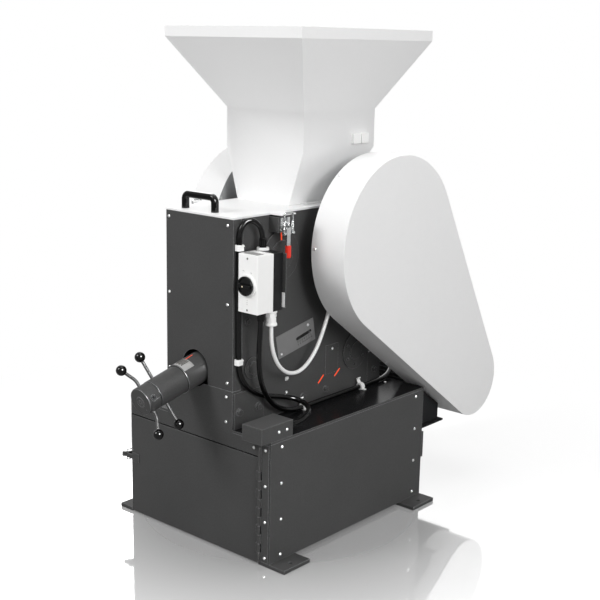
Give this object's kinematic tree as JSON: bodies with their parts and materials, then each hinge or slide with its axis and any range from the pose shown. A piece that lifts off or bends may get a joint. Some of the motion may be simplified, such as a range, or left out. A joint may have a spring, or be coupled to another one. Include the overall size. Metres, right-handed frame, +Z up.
{
  "type": "laboratory jaw crusher",
  "caption": "Floor-standing jaw crusher with funnel hopper on a hinged lid, guarded belt drive, screw gap adjuster and a cabinet base with collecting drawer.",
  "frame": {"origin": "on the floor at the centre of the four foot-plate holes", "axes": "+X to the belt-guard side, -Y to the operator (door and gap adjuster), +Z up"},
  "size_m": [0.744, 1.4292, 1.589],
  "materials": {
    "dark_powder_coat": "satin",
    "white_powder_coat": "satin",
    "bare_steel": "satin",
    "zinc_plated_steel": "satin",
    "cast_iron": "matte",
    "manganese_steel": "matte",
    "aluminium_plate": "satin",
    "black_gloss_plastic": "gloss",
    "black_plastic": "matte",
    "black_oxide_steel": "satin",
    "white_plastic": "satin",
    "red_vinyl": "satin",
    "belt_rubber": "matte"
  },
  "bodies": {
    "machine": {"foot_plates": "dark_powder_coat", "cabinet_inner_frame": "dark_powder_coat", "cabinet_top_plate": "dark_powder_coat", "cabinet_panels": "dark_powder_coat", "door_hinge_frame_side": "dark_powder_coat", "latch_base": "dark_powder_coat", "interlock_block": "dark_powder_coat", "frame_side_plates": "dark_powder_coat", "frame_cross_members": "dark_powder_coat", "tower_covers": "dark_powder_coat", "cheek_plates": "manganese_steel", "housings_and_covers": "dark_powder_coat", "frame_shafts_and_bearings": "bare_steel", "barrel_housing": "dark_powder_coat", "scale_and_rating_plates": "aluminium_plate", "drive_belts": "belt_rubber", "motor": "dark_powder_coat", "motor_shelf": "dark_powder_coat", "belt_guard": "white_powder_coat", "flywheel_guard": "white_powder_coat", "guard_back_plates": "zinc_plated_steel", "lid_hinge": "bare_steel", "clamp_bases": "zinc_plated_steel", "starter_base": "black_plastic", "starter_cover": "white_plastic", "conduits": "black_plastic", "white_cable": "white_plastic", "clips_and_glands": "white_plastic", "button_screws": "zinc_plated_steel"},
    "door": {"door_panel": "dark_powder_coat", "latch_keeper": "dark_powder_coat"},
    "drawer": {"drawer": "bare_steel"},
    "door_latch": {"draw_latch": "dark_powder_coat"},
    "lid": {"lid_plate": "white_powder_coat", "hopper": "white_powder_coat", "bridge_handle": "black_gloss_plastic", "hopper_switch": "white_plastic", "hopper_screws": "zinc_plated_steel"},
    "clamp_lever_right": {"clamp_lever_right": "zinc_plated_steel", "clamp_grip_right": "red_vinyl"},
    "clamp_bail_right": {"clamp_bail_right": "zinc_plated_steel"},
    "clamp_lever_left": {"clamp_lever_left": "zinc_plated_steel"},
    "clamp_bail_left": {"clamp_bail_left": "zinc_plated_steel"},
    "gap_adjuster": {"adjuster_hub": "dark_powder_coat", "adjuster_lever_arms": "black_oxide_steel", "adjuster_lever_balls": "black_gloss_plastic"},
    "adjusting_spindle": {"spindle": "bare_steel"},
    "lock_sleeve": {"lock_sleeve": "dark_powder_coat", "lock_lever_arms": "black_oxide_steel", "lock_lever_balls": "black_gloss_plastic"},
    "front_jaw": {"front_jaw_arm": "cast_iron", "front_jaw_plate": "manganese_steel"},
    "rear_jaw": {"rear_jaw_arm": "cast_iron", "rear_jaw_plate": "manganese_steel", "toggle_plate": "bare_steel"},
    "main_shaft": {"eccentric_shaft": "bare_steel", "flywheel_left": "cast_iron", "flywheel_pulley": "cast_iron"},
    "motor_rotor": {"motor_pulley": "bare_steel"},
    "starter_switch": {"starter_knob": "black_gloss_plastic"}
  },
  "joints": [
    {"name": "door_hinge", "type": "hinge", "parent": "machine", "child": "door", "pos_m": [0.2715, -0.3915, 0.18], "axis": [0, 0, 1], "range_deg": [0, 115]},
    {"name": "drawer_slide", "type": "slide", "parent": "machine", "child": "drawer", "axis": [0, -1, 0], "range_m": [0, 0.205]},
    {"name": "door_latch_swing", "type": "hinge", "parent": "machine", "child": "door_latch", "pos_m": [-0.321, -0.326, 0.195], "axis": [0, 0, -1], "range_deg": [0, 95]},
    {"name": "lid_hinge", "type": "hinge", "parent": "machine", "child": "lid", "pos_m": [0.009, 0.284, 1.0435], "axis": [-1, 0, 0], "range_deg": [0, 60]},
    {"name": "right_clamp_lever", "type": "hinge", "parent": "machine", "child": "clamp_lever_right", "pos_m": [0.203, -0.207, 1], "axis": [0, -1, 0], "range_deg": [0, 160]},
    {"name": "right_clamp_bail", "type": "hinge", "parent": "clamp_lever_right", "child": "clamp_bail_right", "pos_m": [0.206, -0.207, 0.988], "axis": [0, -1, 0], "range_deg": [-160, 0]},
    {"name": "left_clamp_lever", "type": "hinge", "parent": "machine", "child": "clamp_lever_left", "pos_m": [-0.185, -0.207, 1], "axis": [0, 1, 0], "range_deg": [0, 160]},
    {"name": "left_clamp_bail", "type": "hinge", "parent": "clamp_lever_left", "child": "clamp_bail_left", "pos_m": [-0.188, -0.207, 0.988], "axis": [0, 1, 0], "range_deg": [-160, 0]},
    {"name": "gap_adjuster_turn", "type": "hinge", "parent": "machine", "child": "gap_adjuster", "pos_m": [-0.009, -0.387, 0.558], "axis": [0, -0.9703, -0.2419], "range_deg": [0, 1080]},
    {"name": "spindle_slide", "type": "slide", "parent": "machine", "child": "adjusting_spindle", "axis": [0, -0.9703, -0.2419], "range_m": [0, 0.0241]},
    {"name": "front_jaw_swing", "type": "hinge", "parent": "machine", "child": "front_jaw", "pos_m": [0.009, -0.181, 0.909], "axis": [1, 0, 0], "range_deg": [-4.75, 0]},
    {"name": "lock_sleeve_turn", "type": "hinge", "parent": "machine", "child": "lock_sleeve", "pos_m": [-0.009, -0.387, 0.558], "axis": [0, -0.9703, -0.2419], "range_deg": [0, 90]},
    {"name": "rear_jaw_swing", "type": "hinge", "parent": "machine", "child": "rear_jaw", "pos_m": [0.009, 0.168, 0.922], "axis": [1, 0, 0], "range_deg": [-0.9, 0]},
    {"name": "main_shaft_turn", "type": "hinge", "parent": "machine", "child": "main_shaft", "pos_m": [0.009, 0.168, 0.922], "axis": [1, 0, 0], "continuous": true},
    {"name": "motor_turn", "type": "hinge", "parent": "machine", "child": "motor_rotor", "pos_m": [0.2, 0.648, 0.38], "axis": [1, 0, 0], "continuous": true},
    {"name": "starter_switch_turn", "type": "hinge", "parent": "machine", "child": "starter_switch", "pos_m": [0.208, -0.39, 0.854], "axis": [0, 1, 0], "range_deg": [0, 90]}
  ],
  "couplings": [
    {"joint": "drawer_slide", "follows": "door_hinge", "m_per_rad": 0.1},
    {"joint": "right_clamp_bail", "follows": "right_clamp_lever", "ratio": -1},
    {"joint": "left_clamp_bail", "follows": "left_clamp_lever", "ratio": -1},
    {"joint": "spindle_slide", "follows": "gap_adjuster_turn", "m_per_rad": 0.0012732},
    {"joint": "front_jaw_swing", "follows": "gap_adjuster_turn", "ratio": -0.0043799},
    {"joint": "motor_turn", "follows": "main_shaft_turn", "ratio": 4.3571}
  ]
}
